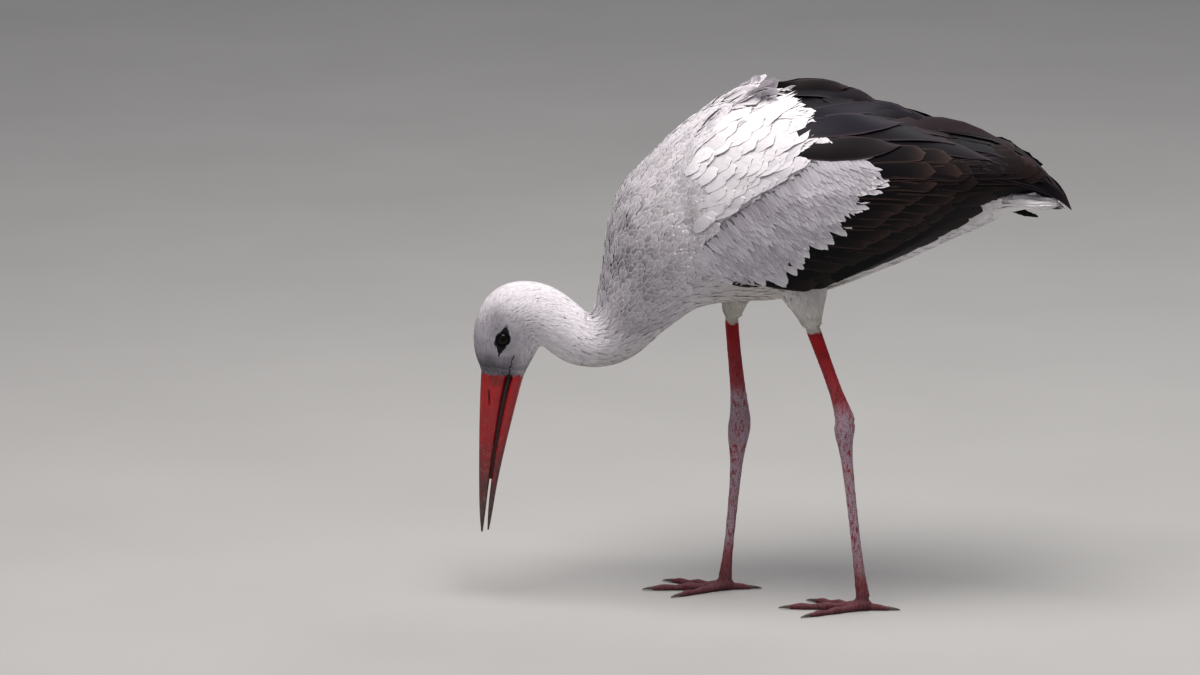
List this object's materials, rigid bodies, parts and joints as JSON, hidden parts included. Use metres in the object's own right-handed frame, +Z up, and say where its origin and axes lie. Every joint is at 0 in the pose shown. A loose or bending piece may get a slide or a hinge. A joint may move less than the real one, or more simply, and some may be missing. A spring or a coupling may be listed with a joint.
{
  "type": "white stork",
  "caption": "Life-size wading bird in mid stride, head lowered to feed, long red bill and legs, white body and black flight feathers.",
  "frame": {"origin": "on the floor under the middle of the bird, at the bottom centre of its bounding box", "axes": "+X from the head to the tail, so the bird faces -X; +Y to the bird's right side; +Z up"},
  "size_m": [0.6573, 0.2072, 0.5809],
  "materials": {
    "plumage_white": "soft matt feathers",
    "plumage_black": "slightly glossy feathers",
    "bill_horn": "satin horn, muddy at the tip",
    "leg_skin": "matt scaly skin",
    "eye": "wet gloss",
    "claw_horn": "matt horn"
  },
  "bodies": {
    "root": {"head": "plumage_white", "neck_upper": "plumage_white", "neck_lower": "plumage_white", "trunk": "plumage_white", "tail": "plumage_white", "eye_left": "eye", "eye_right": "eye", "bill_upper": "bill_horn", "bill_lower": "bill_horn", "thigh_left": "plumage_white", "shank_left": "leg_skin", "tarsus_left": "leg_skin", "foot_left": "leg_skin", "claw_left_hind": "claw_horn", "claw_left_inner": "claw_horn", "claw_left_middle": "claw_horn", "claw_left_outer": "claw_horn", "wing_left_coverts": "plumage_white", "wing_left_secondaries": "plumage_black", "wing_left_primaries": "plumage_black", "thigh_right": "plumage_white", "shank_right": "leg_skin", "tarsus_right": "leg_skin", "foot_right": "leg_skin", "claw_right_hind": "claw_horn", "claw_right_inner": "claw_horn", "claw_right_middle": "claw_horn", "claw_right_outer": "claw_horn", "wing_right_coverts": "plumage_white", "wing_right_secondaries": "plumage_black", "wing_right_primaries": "plumage_black"}
  },
  "joints": []
}
